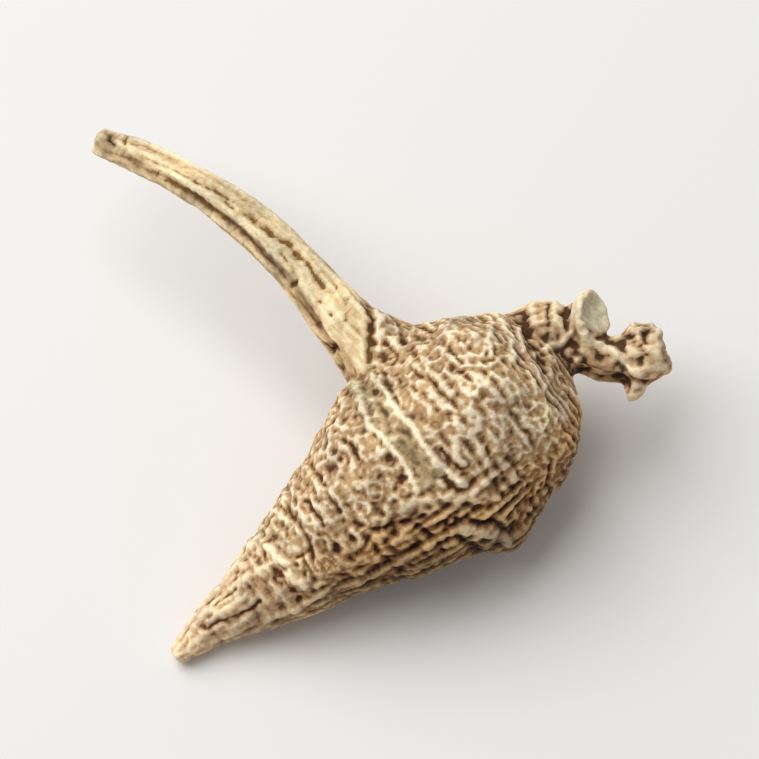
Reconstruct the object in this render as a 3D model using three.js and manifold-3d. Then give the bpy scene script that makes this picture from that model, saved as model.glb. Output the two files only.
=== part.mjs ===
// A dried ginseng root, as it lies on a table: a short fat body with rings of fine wrinkles,
// a curved side root, a tapering tail, and a knobbed neck with the scars of old stems.
// It grew as one piece, so it is one solid. Millimetres, +Z up, the floor at z = 0.
import * as THREE from 'three';
import { mergeVertices } from 'three/addons/utils/BufferGeometryUtils.js';
import Module from 'manifold-3d';

const wasm = await Module();
wasm.setup();

// Centrelines, from the neck end outwards: x, y, z and the radius there
const BODY_SPINE = [
  [14.2, -1.0, 9.0, 7.8],
  [11.2, -3.4, 8.6, 8.4],
  [8.0, -6.1, 8.4, 8.8],
  [3.4, -10.0, 7.8, 8.3],
  [-1.0, -13.4, 6.5, 6.9],
  [-6.4, -17.3, 4.4, 4.6],
  [-10.8, -20.1, 2.8, 2.8],
  [-13.6, -21.9, 1.7, 1.8],
  [-16.6, -24.5, 1.0, 0.8],
];
const SIDE_ROOT_SPINE = [
  [4.6, -3.6, 8.5, 5.0],
  [1.5, -3.0, 10.0, 4.4],
  [-1.4, -1.0, 11.2, 3.0],
  [-4.15, 1.9, 12.0, 2.3],
  [-7.5, 5.85, 12.4, 2.05],
  [-10.8, 9.0, 12.4, 1.85],
  [-14.8, 12.2, 12.0, 1.6],
  [-18.8, 14.8, 11.3, 1.45],
  [-23.2, 17.2, 10.4, 1.25],
];
const NECK_SPINE = [
  [10.4, -0.6, 9.3, 2.6],
  [13.5, -0.3, 9.8, 3.2],
  [15.8, -0.9, 9.9, 2.5],
  [17.8, -1.9, 9.6, 2.0],
  [19.4, -1.8, 9.5, 2.2],
  [21.3, -1.5, 9.7, 2.7],
  [22.9, -0.9, 9.9, 2.0],
];

// Length of the rounded shoulder and of the rounded tip of the tail
const BODY_ENDS = [8.1, 0.8];

// Rings across the body, closer together at the shoulder than at the tail
const SHOULDER_PITCH = 1.15;
const TAIL_PITCH = 1.75;
const ROWS_IN_A_RING = 3;
const RING_DEPTH = 0.45;
const RING_WAVER = 0.5;
const BODY_COLUMNS = 40;

// Furrows along each limb: how many go round it, how deep they are, how fast they drift round
const BODY_FURROWS = { count: 9, depth: 0.25 };
const SIDE_ROOT = { rows: 24, columns: 20, dimple: 0.4, furrows: 5, depth: 0.35, drift: 0.12 };
const NECK = { rows: 24, columns: 21, dimple: 1.0, furrows: 7, depth: 0.5, drift: 0.35 };
const BODY_LUMP = 0.025;

// A hollow in the crown and a swelling low on the flank: distance along the body and
// degrees round it, the height, and how far it reaches along and round
const SWELLS = [
  { distance: 4.6, degrees: 27, height: -0.9, along: 2.0, round: 24 },
  { distance: 12.6, degrees: 198, height: 1.9, along: 2.6, round: 26 },
];

// A long fold down the flank: distance along the body and degrees round it
const FOLD_LINE = [[11.0, 141], [14.0, 134], [16.7, 123], [19.2, 120], [22.9, 117], [26.6, 114]];
const FOLD_DEPTH = 0.8;
const FOLD_WIDTH = 9;

// Raised welts on the body's skin, placed the same way: two run over it from the foot of
// the side root, and a short one is a lens-shaped scar low on the flank
const WELTS = [
  { line: [[12.6, 40], [13.5, 62], [13.8, 85], [13.7, 108], [13.4, 132]], radius: 0.65, rows: 14 },
  { line: [[14.4, 44], [15.2, 66], [15.6, 88], [15.8, 103], [16.4, 119]], radius: 0.6, rows: 14 },
  { line: [[15.8, 155], [14.6, 164], [13.4, 172]], radius: 0.55, rows: 6 },
];
const WELT_COLUMNS = 6;
const WELT_SINK = 0.1;

// Stubs of fine rootlets on the sides turned away: distance, degrees, length, radius
const ROOTLETS = [
  [9.5, 322, 1.9, 0.75],
  [19.0, 312, 1.5, 0.6],
  [24.5, 322, 2.2, 0.6],
];
const ROOTLET_LEAN = 0.5;

// Scars of old stems on the neck: a dished scale stands on it, and two pits mark its end
const SCALE = { centre: [16.7, 0.7, 11.9], facing: [0.75, -0.15, 0.65], radius: 2.1 };
const SCALE_PROFILE = [
  [0, -1.2], [0.45, -0.75], [0.92, -0.15], [1, 0.25], [0.84, 0.34], [0.6, 0], [0, -0.12],
];
const PITS = [
  { centre: [20.1, 0.3, 11.9], radius: 0.75 },
  { centre: [21.4, -0.7, 12.5], radius: 0.85 },
];
const SPUR_SPINE = [
  [21.2, -2.6, 9.0, 1.3],
  [20.4, -4.1, 8.6, 1.0],
  [19.8, -5.2, 8.3, 0.5],
];

const UP = new THREE.Vector3(0, 0, 1);
const FULL_TURN = 2 * Math.PI;
const { clamp, degToRad, radToDeg, smoothstep } = THREE.MathUtils;

// A number from 0 to 1 that always comes out the same for the same two numbers.
function pick(index, seed) {
  const value = Math.sin(index * 12.9898 + seed * 78.233) * 43758.5453;
  return value - Math.floor(value);
}

// A smooth line through a spine's rows, measured in mm from its start, with its radius.
function spineCurve(spine) {
  const path = new THREE.CatmullRomCurve3(
    spine.map(([x, y, z]) => new THREE.Vector3(x, y, z)), false, 'catmullrom', 0.5);
  const radii = new THREE.CatmullRomCurve3(
    spine.map((row) => new THREE.Vector3(row[3], 0, 0)), false, 'catmullrom', 0.5);
  const length = path.getLength();
  return {
    length,
    at(distance) {
      const t = path.getUtoTmapping(clamp(distance / length, 0, 1));
      const centre = path.getPoint(t);
      const along = path.getTangent(t);
      const side = new THREE.Vector3().crossVectors(along, UP).normalize();
      const up = new THREE.Vector3().crossVectors(side, along);
      return { centre, along, side, up, radius: radii.getPoint(t).x };
    },
    // The point a reach away from the centreline, at an angle round it.
    point(distance, angle, reach) {
      const { centre, side, up } = this.at(distance);
      return centre
        .addScaledVector(side, Math.cos(angle) * reach)
        .addScaledVector(up, Math.sin(angle) * reach);
    },
  };
}

// A manifold solid from a closed three.js geometry.
function solidFrom(geometry) {
  geometry.deleteAttribute('normal');
  geometry.deleteAttribute('uv');
  const merged = mergeVertices(geometry, 1e-4);
  const corners = merged.index.array;
  const faces = [];
  for (let i = 0; i < corners.length; i += 3) {
    const [a, b, c] = [corners[i], corners[i + 1], corners[i + 2]];
    if (a !== b && b !== c && c !== a) {
      faces.push(a, b, c);
    }
  }
  return new wasm.Manifold(new wasm.Mesh({
    numProp: 3,
    vertProperties: new Float32Array(merged.attributes.position.array),
    triVerts: new Uint32Array(faces),
  }));
}

// A closed limb: a lathe whose rows and columns are moved to where place(row, angle) says.
function limbSolid(rowCount, columns, place) {
  const profile = [];
  for (let row = 0; row < rowCount; row += 1) {
    profile.push(new THREE.Vector2(1, row));
  }
  const lathe = new THREE.LatheGeometry(profile, columns);
  const position = lathe.attributes.position;
  for (let column = 0; column <= columns; column += 1) {
    const angle = -(column % columns) / columns * FULL_TURN;
    for (let row = 0; row < rowCount; row += 1) {
      const point = place(row, angle);
      position.setXYZ(column * rowCount + row, point.x, point.y, point.z);
    }
  }
  return solidFrom(lathe);
}

// A limb that starts inside another, has furrows along it and ends broken off, with a
// dimple where the soft core has shrunk back.
function brokenLimb(spine, { rows, columns, dimple, furrows, depth, drift }) {
  const curve = spineCurve(spine);
  return limbSolid(rows + 3, columns, (row, angle) => {
    const distance = curve.length * Math.min(row / rows, 1);
    const { radius } = curve.at(distance);
    if (row === rows + 2) {
      return curve.point(curve.length - dimple, angle, 0);
    }
    const full = row === rows + 1 ? 0.65 : Math.min(row, 1);
    const wave = 0.5 - 0.5 * Math.cos(furrows * angle + drift * distance);
    return curve.point(distance, angle, (radius - depth * wave) * full);
  });
}

// A limb that swells from nothing to its spine's radius and back again.
function spindle(spine, rows, columns) {
  const curve = spineCurve(spine);
  return limbSolid(rows + 1, columns, (row, angle) => {
    const distance = curve.length * row / rows;
    const full = Math.sqrt(Math.sin(Math.PI * row / rows));
    return curve.point(distance, angle, curve.at(distance).radius * full);
  });
}

const body = spineCurve(BODY_SPINE);

// How full the body is near its rounded ends, from 0 at the very end to 1.
function bodyFullness(distance) {
  const near = 1 - clamp(distance / BODY_ENDS[0], 0, 1);
  const far = 1 - clamp((body.length - distance) / BODY_ENDS[1], 0, 1);
  return Math.sqrt((1 - near ** 2) * (1 - far ** 2));
}

// How much the hollow and the swelling raise the skin at a place on the body.
function swell(distance, degrees) {
  return SWELLS.reduce((height, place) => {
    const onward = (distance - place.distance) / place.along;
    const turn = ((degrees - place.degrees + 540) % 360 - 180) / place.round;
    return height + place.height * Math.exp(-(onward ** 2) - turn ** 2);
  }, 0);
}

// A point on the body's smooth skin, raised by the given height.
function skinPoint(distance, degrees, height) {
  const radius = body.at(distance).radius + swell(distance, degrees);
  const reach = radius * bodyFullness(distance) + height;
  return body.point(distance, degToRad(degrees), reach);
}

// How deep the long fold is, at a distance along the body and degrees round it.
function foldDepth(distance, degrees) {
  const first = FOLD_LINE[0];
  const last = FOLD_LINE[FOLD_LINE.length - 1];
  let middle = first[1];
  for (let i = 1; i < FOLD_LINE.length; i += 1) {
    const [from, to] = [FOLD_LINE[i - 1], FOLD_LINE[i]];
    middle += (to[1] - from[1]) * clamp((distance - from[0]) / (to[0] - from[0]), 0, 1);
  }
  const begins = smoothstep(distance, first[0] - 2, first[0] + 2);
  const ends = 1 - smoothstep(distance, last[0] - 3, last[0] + 3);
  return FOLD_DEPTH * begins * ends * Math.exp(-(((degrees - middle) / FOLD_WIDTH) ** 2));
}

// The belly is pressed smooth where it lies on the floor: 1 straight below, 0 elsewhere.
function pressed(angle) {
  return smoothstep(-Math.sin(angle), 0.9, 0.99);
}

// The body and tail. Each ring is one groove row and two rows for the ridge behind it.
function bodySolid() {
  const spread = TAIL_PITCH / SHOULDER_PITCH;
  const meanPitch = (TAIL_PITCH - SHOULDER_PITCH) / Math.log(spread);
  const rings = Math.round(body.length / meanPitch);
  const lastRow = rings * ROWS_IN_A_RING;
  return limbSolid(lastRow + 1, BODY_COLUMNS, (row, angle) => {
    const ring = Math.floor(row / ROWS_IN_A_RING);
    const degrees = (radToDeg(angle) + 360) % 360;
    let waver = 0;
    for (let lobes = 1; lobes <= 3; lobes += 1) {
      waver += Math.cos(lobes * angle + FULL_TURN * pick(ring, lobes)) / (lobes + 1);
    }
    const level = body.length * (spread ** (row / lastRow) - 1) / (spread - 1);
    const distance = level + waver * RING_WAVER * Math.sin(Math.PI * row / lastRow);
    const lumps = Math.cos(2 * angle + 0.35 * level) + Math.cos(3 * angle - 0.5 * level);
    const radius = body.at(distance).radius * (1 + BODY_LUMP * lumps * (1 - pressed(angle)));
    const broken = 0.6 + 0.4 * Math.cos(2 * angle + FULL_TURN * pick(ring, 7));
    const groove = row % ROWS_IN_A_RING === 0 ? RING_DEPTH * broken : 0;
    const wave = 0.5 - 0.5 * Math.cos(BODY_FURROWS.count * angle + 1.5 * Math.sin(level / 5));
    const wrinkles = (groove + BODY_FURROWS.depth * wave) * Math.min(1, radius / 5);
    const relief = wrinkles * (1 - pressed(angle)) + foldDepth(distance, degrees);
    const reach = radius + swell(distance, degrees) - relief;
    return body.point(distance, angle, reach * bodyFullness(distance));
  });
}

// A raised welt along the body's skin.
function weltSolid({ line, radius, rows }) {
  const spine = line.map(([distance, degrees]) => {
    const { x, y, z } = skinPoint(distance, degrees, -WELT_SINK);
    return [x, y, z, radius];
  });
  return spindle(spine, rows, WELT_COLUMNS);
}

// The stub of a fine rootlet, leaning towards the tail.
function rootletSolid([distance, degrees, length, radius]) {
  const foot = skinPoint(distance, degrees, -1);
  const middle = skinPoint(distance + ROOTLET_LEAN * length / 2, degrees, length / 2);
  const tip = skinPoint(distance + ROOTLET_LEAN * length, degrees, length);
  const spine = [
    [foot.x, foot.y, foot.z, radius * 1.5],
    [middle.x, middle.y, middle.z, radius],
    [tip.x, tip.y, tip.z, radius * 0.7],
  ];
  return brokenLimb(spine, { rows: 4, columns: 7, dimple: 0.1, furrows: 0, depth: 0, drift: 0 });
}

// The dished scale left by an old stem.
function scaleSolid() {
  const profile = SCALE_PROFILE.map(([out, height]) => (
    new THREE.Vector2(out * SCALE.radius, height * SCALE.radius)));
  const lathe = new THREE.LatheGeometry(profile, 16);
  const facing = new THREE.Vector3(...SCALE.facing).normalize();
  const turn = new THREE.Quaternion().setFromUnitVectors(new THREE.Vector3(0, 1, 0), facing);
  lathe.applyQuaternion(turn);
  lathe.translate(...SCALE.centre);
  return solidFrom(lathe);
}

// The hollow of a small pit.
function pitSolid({ centre, radius }) {
  const sphere = new THREE.IcosahedronGeometry(radius, 1);
  sphere.translate(...centre);
  return solidFrom(sphere);
}

// What lies below the floor, to be cut away so that the belly rests on a flat spot.
function floorSolid() {
  const depth = 10;
  const slab = new THREE.BoxGeometry(100, 100, depth);
  slab.translate(0, 0, -depth / 2);
  return solidFrom(slab);
}

// The whole root as one solid.
function rootSolid() {
  const added = [
    brokenLimb(SIDE_ROOT_SPINE, SIDE_ROOT),
    brokenLimb(NECK_SPINE, NECK),
    spindle(SPUR_SPINE, 6, 8),
    scaleSolid(),
    ...WELTS.map(weltSolid),
    ...ROOTLETS.map(rootletSolid),
  ];
  const whole = added.reduce((solid, limb) => solid.add(limb), bodySolid());
  const pitted = PITS.map(pitSolid).reduce((solid, pit) => solid.subtract(pit), whole);
  return pitted.subtract(floorSolid());
}

// The root's mesh, moved so that the middle of its footprint is at the origin.
function rootMesh() {
  const { vertProperties, triVerts } = rootSolid().getMesh();
  const geometry = new THREE.BufferGeometry();
  geometry.setAttribute('position', new THREE.BufferAttribute(vertProperties, 3));
  geometry.setIndex(new THREE.BufferAttribute(triVerts, 1));
  geometry.computeBoundingBox();
  const middle = geometry.boundingBox.getCenter(new THREE.Vector3());
  geometry.translate(-middle.x, -middle.y, 0);
  geometry.computeVertexNormals();
  const bark = new THREE.MeshStandardMaterial({ color: 0xb59a6c, roughness: 0.85, metalness: 0 });
  const mesh = new THREE.Mesh(geometry, bark);
  mesh.name = 'ginseng_root';
  return mesh;
}

const part = new THREE.Group();
part.add(rootMesh());
export default part;
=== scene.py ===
"""A dried ginseng root, lying on a pale table and seen from high up.

The root grew as one piece: a short fat body with a tapering tail, a curved side root,
and a knobbed neck with the scars of old stems. Its skin is modelled in three steps.
Plain limbs are grown along centrelines and fused into one skin. That skin is relaxed
where limbs meet. Then it is raised into rings, wrinkles, welts, folds and pits.

Lengths are millimetres in the root's own frame, with the table at z = 0, until the
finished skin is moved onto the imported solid, in metres.
"""
import logging
import math
from dataclasses import dataclass, field
from enum import Enum

import bpy
import numpy as np
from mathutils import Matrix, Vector


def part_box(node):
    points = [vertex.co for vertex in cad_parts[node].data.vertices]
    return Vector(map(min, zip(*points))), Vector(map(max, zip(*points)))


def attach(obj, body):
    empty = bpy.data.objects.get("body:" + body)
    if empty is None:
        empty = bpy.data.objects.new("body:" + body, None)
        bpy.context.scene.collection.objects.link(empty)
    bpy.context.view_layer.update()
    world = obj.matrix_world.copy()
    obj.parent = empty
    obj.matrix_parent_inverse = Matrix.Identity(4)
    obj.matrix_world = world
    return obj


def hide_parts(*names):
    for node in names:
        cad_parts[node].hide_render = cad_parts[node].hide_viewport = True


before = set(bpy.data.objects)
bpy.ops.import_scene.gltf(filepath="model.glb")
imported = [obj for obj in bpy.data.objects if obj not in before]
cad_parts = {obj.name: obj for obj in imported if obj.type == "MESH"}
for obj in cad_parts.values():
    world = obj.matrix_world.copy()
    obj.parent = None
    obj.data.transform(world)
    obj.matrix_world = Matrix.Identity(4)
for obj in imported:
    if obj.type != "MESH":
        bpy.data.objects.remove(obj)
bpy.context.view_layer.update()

LOG = logging.getLogger("ginseng_root")
Array = np.ndarray
Socket = bpy.types.NodeSocket
Inputs = dict[str | int, object]
Colour = tuple[float, float, float]
Point = tuple[float, float, float]
FlatPoint = tuple[float, float]
Rows = tuple[tuple[float, ...], ...]

NODE = "ginseng_root"
BODY = "root"
MM = 0.001
FULL_TURN = 2 * math.pi
HALF_DEGREES = 180.0

# How steeply the viewer looks down, the way to the viewer, and the way up in that view
VIEW_SLOPE = math.radians(67.0)
TO_VIEWER = (0.0, -math.cos(VIEW_SLOPE), math.sin(VIEW_SLOPE))
VIEW_UP = (0.0, math.sin(VIEW_SLOPE), math.cos(VIEW_SLOPE))

# Centrelines, from the neck end outwards: x, y, z and the radius there
BODY_ROWS = (
    (14.2, -1.0, 9.0, 7.8),
    (11.2, -3.4, 8.6, 8.4),
    (8.0, -6.1, 8.4, 8.8),
    (3.4, -10.0, 7.8, 8.3),
    (-1.0, -13.4, 6.5, 6.9),
    (-6.4, -17.3, 4.4, 4.6),
    (-10.8, -20.1, 2.8, 2.8),
    (-13.6, -21.9, 1.7, 1.8),
    (-16.6, -24.5, 1.0, 0.8),
)
SIDE_ROWS = (
    (4.6, -3.6, 8.5, 5.0),
    (1.5, -3.0, 10.0, 4.4),
    (-1.4, -1.0, 11.2, 3.0),
    (-4.15, 1.9, 12.0, 2.3),
    (-7.5, 5.85, 12.4, 2.05),
    (-10.8, 9.0, 12.4, 1.85),
    (-14.8, 12.2, 12.0, 1.6),
    (-18.8, 14.8, 11.3, 1.45),
    (-23.2, 17.2, 10.4, 1.25),
)
NECK_ROWS = (
    (10.4, -0.6, 9.3, 2.6),
    (13.5, -0.3, 9.8, 3.2),
    (15.8, -0.9, 9.9, 2.5),
    (17.8, -1.9, 9.6, 2.0),
    (19.4, -1.8, 9.5, 2.2),
    (21.3, -1.5, 9.7, 2.7),
    (22.9, -0.9, 9.9, 2.0),
)
SPUR_ROWS = (
    (21.2, -2.6, 9.0, 1.3),
    (20.4, -4.1, 8.6, 1.0),
    (19.8, -5.2, 8.3, 0.5),
)


def put(name: str, data: bpy.types.ID) -> bpy.types.Object:
    """Put an object into the scene.

    Args:
        name: The object's name.
        data: The mesh, lamp or camera in it.

    Returns:
        The object.
    """
    thing = bpy.data.objects.new(name, data)
    bpy.context.scene.collection.objects.link(thing)
    return thing


def aim(thing: bpy.types.Object, place: Vector, back: Vector) -> None:
    """Set a lamp or a camera at a place, with its back turned to one way."""
    thing.location = place
    thing.rotation_euler = (-back).to_track_quat("-Z", "Y").to_euler()


class Zone(Enum):
    """The masks that the skin's material reads, each from 0 to 1."""

    # Partly the skin's own tones, partly painted shade in hollows and painted highlight on crests
    RELIEF = "relief"
    SIDE = "side_root"
    NECK = "neck"
    TAIL = "tail"
    PALE = "pale_ridge"
    BAND = "ring_band"
    # Painted shade: black in holes, pits and deep grooves, and low on the flank
    SHADE_BLACK = "black_pit"
    SCAR = "stem_scar"
    # Painted shade on steep sides and low on the flank, over a redder brown that is partly the skin's own
    UNDER_SHADE = "under_side"


@dataclass(frozen=True)
class Rise:
    """A smooth rise from 0 at low to its share at high. Where low is the greater, it falls."""

    low: float
    high: float
    share: float = 1.0

    def of(self, value: Array) -> Array:
        """Map numbers onto the rise."""
        part = np.clip((value - self.low) / (self.high - self.low), 0.0, 1.0)
        return self.share * (part * part * (3.0 - 2.0 * part))


def unit(vectors: Array) -> Array:
    """Scale vectors to a length of 1."""
    return vectors / np.linalg.norm(vectors, axis=-1, keepdims=True)


def dots(ones: Array, others: Array) -> Array:
    """Give the dot product of each pair of rows."""
    return np.einsum("ij,ij->i", ones, others)


def peak(value: Array) -> Array:
    """Give 1 at 0, fading to 0 on both sides, mostly within 2."""
    return np.exp(-(value**2))


def ripple(angle: Array) -> Array:
    """Give a wave that rises from 0 to 1 and falls back once a turn."""
    return 0.5 - 0.5 * np.cos(angle)


def round_angles(columns: int) -> Array:
    """Give the angles of even columns round a limb, as one row."""
    return np.arange(columns)[None, :] / columns * FULL_TURN


class SpaceNoise:
    """Smooth gradient noise over points in space, the same on every run."""

    SIZE = 256
    GAIN = 1.55

    def __init__(self, seed: int) -> None:
        """Draw the lattice.

        Args:
            seed: Picks the lattice.
        """
        draw = np.random.default_rng(seed)
        self.shuffle = draw.permutation(self.SIZE)
        self.slopes = unit(draw.normal(size=(self.SIZE, 3)))

    def at(self, points: Array) -> Array:
        """Read the noise.

        Args:
            points: Places, one row each, in cells of the lattice.

        Returns:
            One number for each place, mostly from -1 to 1.
        """
        cell = np.floor(points).astype(np.int64)
        inside = points - cell
        # Eased so that slope and bend are level at both ends of a cell
        ease = inside**3 * (inside * (inside * 6.0 - 15.0) + 10.0)
        total = np.zeros(len(points))
        for corner in np.ndindex(2, 2, 2):
            picked = np.zeros(len(points), dtype=np.int64)
            for axis in range(3):
                picked = self.shuffle[(picked + cell[:, axis] + corner[axis]) % self.SIZE]
            away = inside - np.array(corner)
            weight = np.prod(np.where(corner, ease, 1.0 - ease), axis=1)
            total += weight * dots(self.slopes[picked], away)
        return total * self.GAIN


@dataclass(frozen=True)
class Place:
    """Where points lie on a limb: along it, round it, and how far from its middle."""

    distance: Array
    angle: Array
    reach: Array
    radius: Array

    def limb_space(self) -> Array:
        """Give distance along the limb and the two ways across it, as three columns."""
        ways = (self.distance, self.reach * np.cos(self.angle), self.reach * np.sin(self.angle))
        return np.stack(ways, axis=1)


@dataclass(frozen=True)
class Grain:
    """Smooth noise over a limb, by its cell sizes. Where it has a limit, it levels off there."""

    seed: int
    along: float
    across: float
    strength: float = 1.0
    limit: float = 0.0

    def on(self, place: Place) -> Array:
        """Read the pattern.

        Args:
            place: Where the points lie on the limb.

        Returns:
            One number for each point.
        """
        cells = place.limb_space() / np.array([self.along, self.across, self.across])
        values = self.strength * SpaceNoise(self.seed).at(cells)
        return self.limit * np.tanh(values) if self.limit else values


class Spine:
    """A smooth centreline with a radius."""

    SAMPLES = 600
    CHUNK = 20000

    def __init__(self, rows: Rows) -> None:
        """Sample the line.

        Args:
            rows: x, y, z and radius at each point that the line runs through.
        """
        table = np.array(rows, dtype=float)
        ends = (2 * table[:1] - table[1:2], table, 2 * table[-1:] - table[-2:-1])
        table = np.concatenate(ends)
        last = len(rows) - 1
        steps = np.linspace(0.0, last, self.SAMPLES + 1)
        start = np.minimum(steps.astype(int), last - 1)
        share = (steps - start)[:, None]
        before, here, there, after = (table[start + k] for k in range(4))
        leave = (there - before) / 2
        arrive = (after - here) / 2
        cubic = 2 * (here - there) + leave + arrive
        square = 3 * (there - here) - 2 * leave - arrive
        line = ((cubic * share + square) * share + leave) * share + here
        self.centre = line[:, :3]
        self.radii = line[:, 3]
        lengths = np.linalg.norm(np.diff(self.centre, axis=0), axis=1)
        self.arc = np.concatenate([[0.0], np.cumsum(lengths)])
        self.length = float(self.arc[-1])
        self.along = unit(np.gradient(self.centre, self.arc, axis=0))
        self.side = unit(np.cross(self.along, (0.0, 0.0, 1.0)))
        self.up = np.cross(self.side, self.along)

    def radius_at(self, distance: Array) -> Array:
        """Give the radius at each distance along the line."""
        return np.interp(distance, self.arc, self.radii)

    def _blend(self, values: Array, distance: Array) -> Array:
        """Read a sampled vector at each distance along the line."""
        return np.stack([np.interp(distance, self.arc, values[:, k]) for k in range(3)], axis=-1)

    def points(self, distance: Array, angle: Array, reach: Array) -> Array:
        """Give points on or round the line.

        Args:
            distance: How far along the line.
            angle: Radians round it, 0 to the side and a quarter turn up.
            reach: How far from it.

        Returns:
            Places in space, with one more axis than the inputs.
        """
        out = self._blend(self.side, distance) * np.cos(angle)[..., None]
        out += self._blend(self.up, distance) * np.sin(angle)[..., None]
        return self._blend(self.centre, distance) + out * reach[..., None]

    def locate(self, points: Array) -> Place:
        """Say where points lie on the limb.

        Args:
            points: Places in space, one row each.

        Returns:
            The place of each on the limb. Reach counts what lies past an end too.
        """
        nearest = np.empty(len(points), dtype=int)
        squares = (self.centre**2).sum(axis=1)
        for first in range(0, len(points), self.CHUNK):
            some = points[first:first + self.CHUNK]
            gaps = squares - 2.0 * some @ self.centre.T
            nearest[first:first + self.CHUNK] = gaps.argmin(axis=1)
        away = points - self.centre[nearest]
        onward, across, upward = (dots(away, way[nearest]) for way in (self.along, self.side, self.up))
        distance = np.clip(self.arc[nearest] + onward, 0.0, self.length)
        past = self.arc[nearest] + onward - distance
        reach = np.sqrt(across**2 + upward**2 + past**2)
        angle = np.arctan2(upward, across)
        return Place(distance, angle, reach, self.radius_at(distance))


class Shells:
    """Closed shells that overlap, gathered before they are fused."""

    def __init__(self) -> None:
        """Start with nothing."""
        self.corners: list[Array] = []
        self.faces: list[tuple[int, ...]] = []
        self.count = 0

    def add_grid(self, grid: Array) -> None:
        """Add a closed shell from rings of points.

        Args:
            grid: Rows of rings of points. The first and last rows are closed by a fan.
        """
        rows, columns = grid.shape[:2]
        first = self.count
        flat = grid.reshape(-1, 3)
        poles = np.stack([grid[0].mean(axis=0), grid[-1].mean(axis=0)])
        self.corners.append(np.concatenate([flat, poles]))
        near, far = first + len(flat), first + len(flat) + 1
        for column in range(columns):
            beside = (column + 1) % columns
            for row in range(rows - 1):
                low, high = first + row * columns, first + (row + 1) * columns
                self.faces.append((low + column, low + beside, high + beside, high + column))
            self.faces.append((near, first + beside, first + column))
            top = first + (rows - 1) * columns
            self.faces.append((far, top + column, top + beside))
        self.count += len(flat) + 2

    def add_tube(self, spine: Spine, distance: Array, reach: Array) -> None:
        """Add a closed shell round a centreline.

        Args:
            spine: The centreline.
            distance: How far along it each ring lies, as a column.
            reach: How far from it the points of each ring lie, one row a ring.
        """
        along = np.broadcast_to(distance, reach.shape)
        turn = np.broadcast_to(round_angles(reach.shape[1]), reach.shape)
        self.add_grid(spine.points(along, turn, reach)[:, ::-1])

    def mesh(self, name: str) -> bpy.types.Mesh:
        """Give the shells as one mesh.

        Args:
            name: The mesh's name.

        Returns:
            The mesh, in millimetres.
        """
        mesh = bpy.data.meshes.new(name)
        mesh.from_pydata(np.concatenate(self.corners).tolist(), [], self.faces)
        return mesh


@dataclass(frozen=True)
class BrokenLimb:
    """A limb that starts inside another, is furrowed along its length and ends broken."""

    START_FULLNESS = 0.4
    # How full each ring of the broken end is, and how deep it lies in the dimple
    END_RINGS = ((0.75, 0.0), (0.4, 0.7), (0.05, 1.0))

    rows: Rows
    furrows: int
    depth: float
    drift: float
    dimple: float
    stations: int = 90
    columns: int = 72

    def spine(self) -> Spine:
        """Give the limb's centreline."""
        return Spine(self.rows)

    def add_to(self, shells: Shells) -> None:
        """Add the limb's shell.

        Args:
            shells: Where the shell goes.
        """
        spine = self.spine()
        rings = [(spine.length * k / self.stations, 1.0) for k in range(self.stations + 1)]
        rings[0] = (0.0, self.START_FULLNESS)
        rings += [(spine.length - self.dimple * sunk, full) for full, sunk in self.END_RINGS]
        distance, full = np.array(rings).T[..., None]
        wave = ripple(self.furrows * round_angles(self.columns) + self.drift * distance)
        shells.add_tube(spine, distance, (spine.radius_at(distance) - self.depth * wave) * full)


@dataclass(frozen=True)
class Spindle:
    """A spur that swells from nothing and tapers off again."""

    MARGIN = 0.02

    rows: Rows
    stations: int = 40
    columns: int = 16

    def add_to(self, shells: Shells) -> None:
        """Add the spindle's shell.

        Args:
            shells: Where the shell goes.
        """
        spine = Spine(self.rows)
        share = np.linspace(self.MARGIN, 1.0 - self.MARGIN, self.stations)[:, None]
        distance = share * spine.length
        reach = spine.radius_at(distance) * np.sqrt(np.sin(math.pi * share))
        shells.add_tube(spine, distance, np.repeat(reach, self.columns, axis=1))


@dataclass(frozen=True)
class StemScar:
    """The dished scale that an old stem left standing on the neck.

    Its profile runs from the foot over the rim into the dish, in shares of its radius.
    Each ripple of its rim has a count, a depth and a turn.
    """

    # Its rim fades by height. Its dish, and the whole of it, fade by share of its radius
    # and by height too
    UNDER_RIM = Rise(1.6, 1.0)
    DISH = (Rise(1.0, 0.8), Rise(-0.75, -0.35))
    WHOLE = (Rise(1.25, 1.1), Rise(-1.3, -0.6))

    centre: Point = (16.7, 0.7, 11.9)
    facing: Point = (0.75, -0.15, 0.65)
    radius: float = 2.1
    profile: tuple[FlatPoint, ...] = (
        (0.05, -1.2), (0.45, -0.75), (0.92, -0.15), (1.0, 0.25), (0.84, 0.34), (0.6, 0.0), (0.05, -0.12),
    )
    ripples: tuple[tuple[float, float, float], ...] = ((3, 0.07, 0.8), (7, 0.04, 0.0))
    columns: int = 48

    def add_to(self, shells: Shells) -> None:
        """Add the scale's shell, its rim a little uneven.

        Args:
            shells: Where the shell goes.
        """
        profile = np.array(self.profile) * self.radius
        angle = round_angles(self.columns)[0]
        uneven = sum((depth * np.cos(count * angle + turn) for count, depth, turn in self.ripples), 1.0)
        ring = np.stack([np.cos(angle), np.sin(angle)], axis=1) * uneven[:, None]
        grid = np.empty((len(profile), self.columns, 3))
        grid[..., :2] = profile[:, None, :1] * ring[None]
        grid[..., 2] = profile[:, 1:]
        turn = Vector((0, 0, 1)).rotation_difference(Vector(self.facing)).to_matrix()
        shells.add_grid(grid @ np.array(turn).T + np.array(self.centre))

    def masks(self, points: Array) -> tuple[Array, Array]:
        """Say how much points lie on the scale.

        Args:
            points: Places in space, one row each.

        Returns:
            How much each lies on the dished face, and how much on the scale at all.
        """
        facing = unit(np.array(self.facing))
        away = points - np.array(self.centre)
        height = away @ facing
        out = np.linalg.norm(away - height[:, None] * facing, axis=1) / self.radius
        under_rim = self.UNDER_RIM.of(height)
        face, whole = (out_rise.of(out) * up_rise.of(height) * under_rim
                       for out_rise, up_rise in (self.DISH, self.WHOLE))
        return face, whole


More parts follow.
